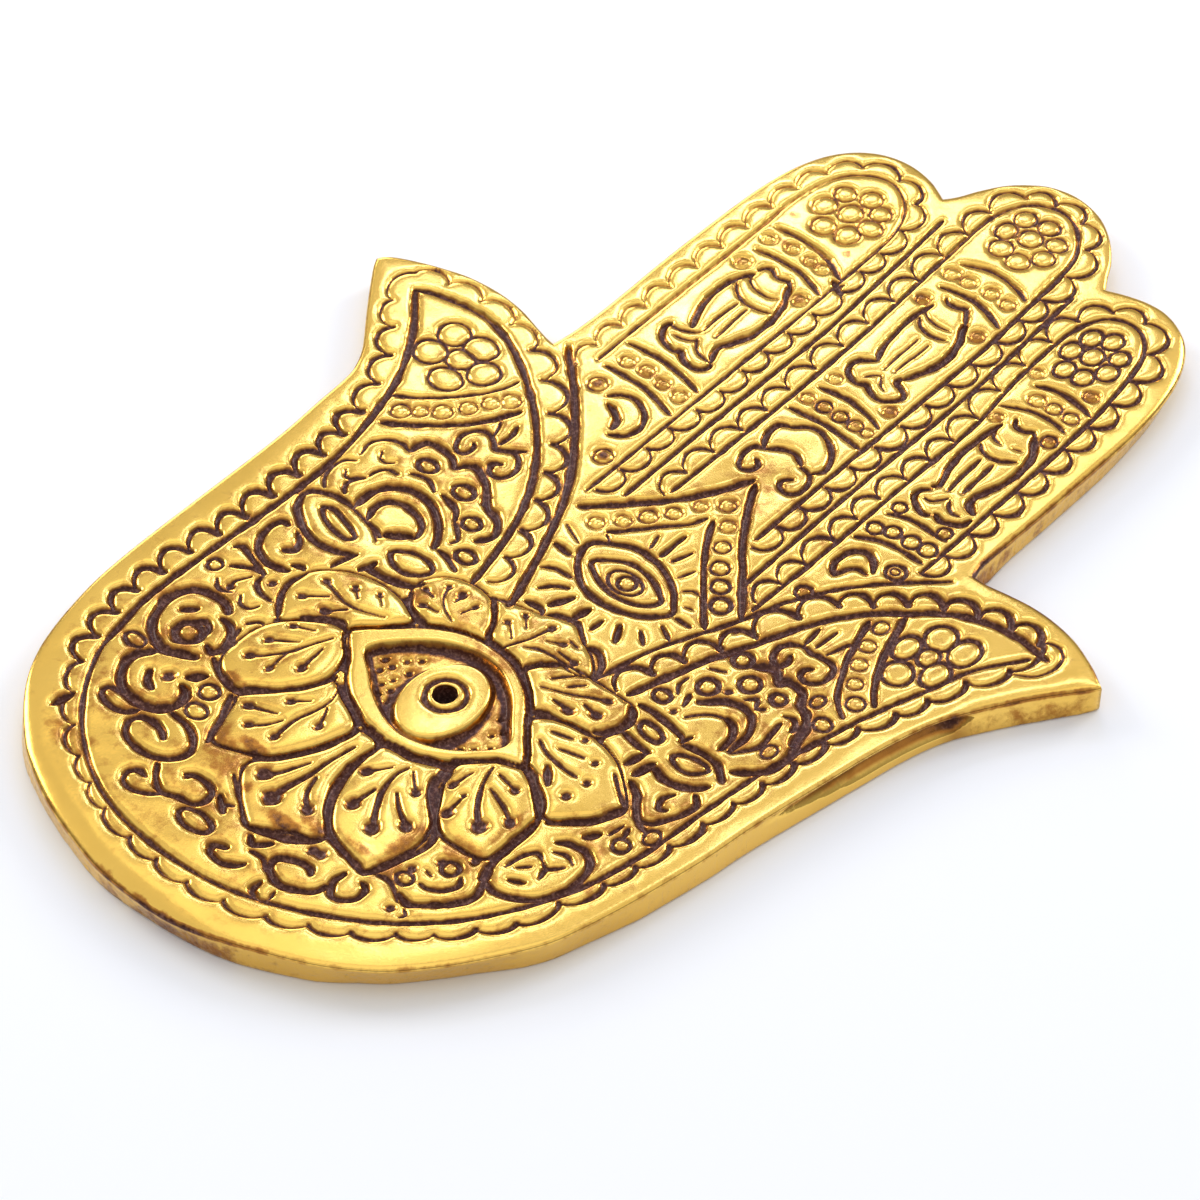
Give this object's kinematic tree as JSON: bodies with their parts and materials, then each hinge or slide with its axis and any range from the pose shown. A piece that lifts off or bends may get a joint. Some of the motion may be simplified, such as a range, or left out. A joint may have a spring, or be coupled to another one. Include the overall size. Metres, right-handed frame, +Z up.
{
  "type": "hamsa incense holder",
  "caption": "Flat cast metal hand with a chased lotus and eye, drilled to stand an incense stick; lies on its flat back.",
  "frame": {"origin": "middle of the casting's box, on its flat back, where it rests", "axes": "+X across the thumbs, +Y towards the fingertips, +Z up out of the carved face"},
  "size_m": [0.1014, 0.1446, 0.0039],
  "materials": {
    "gold_casting": "satin gold finish rubbed bright on the high metal, dark brown antique patina in the grooves"
  },
  "bodies": {
    "root": {"hand_casting": "gold_casting"}
  },
  "joints": []
}
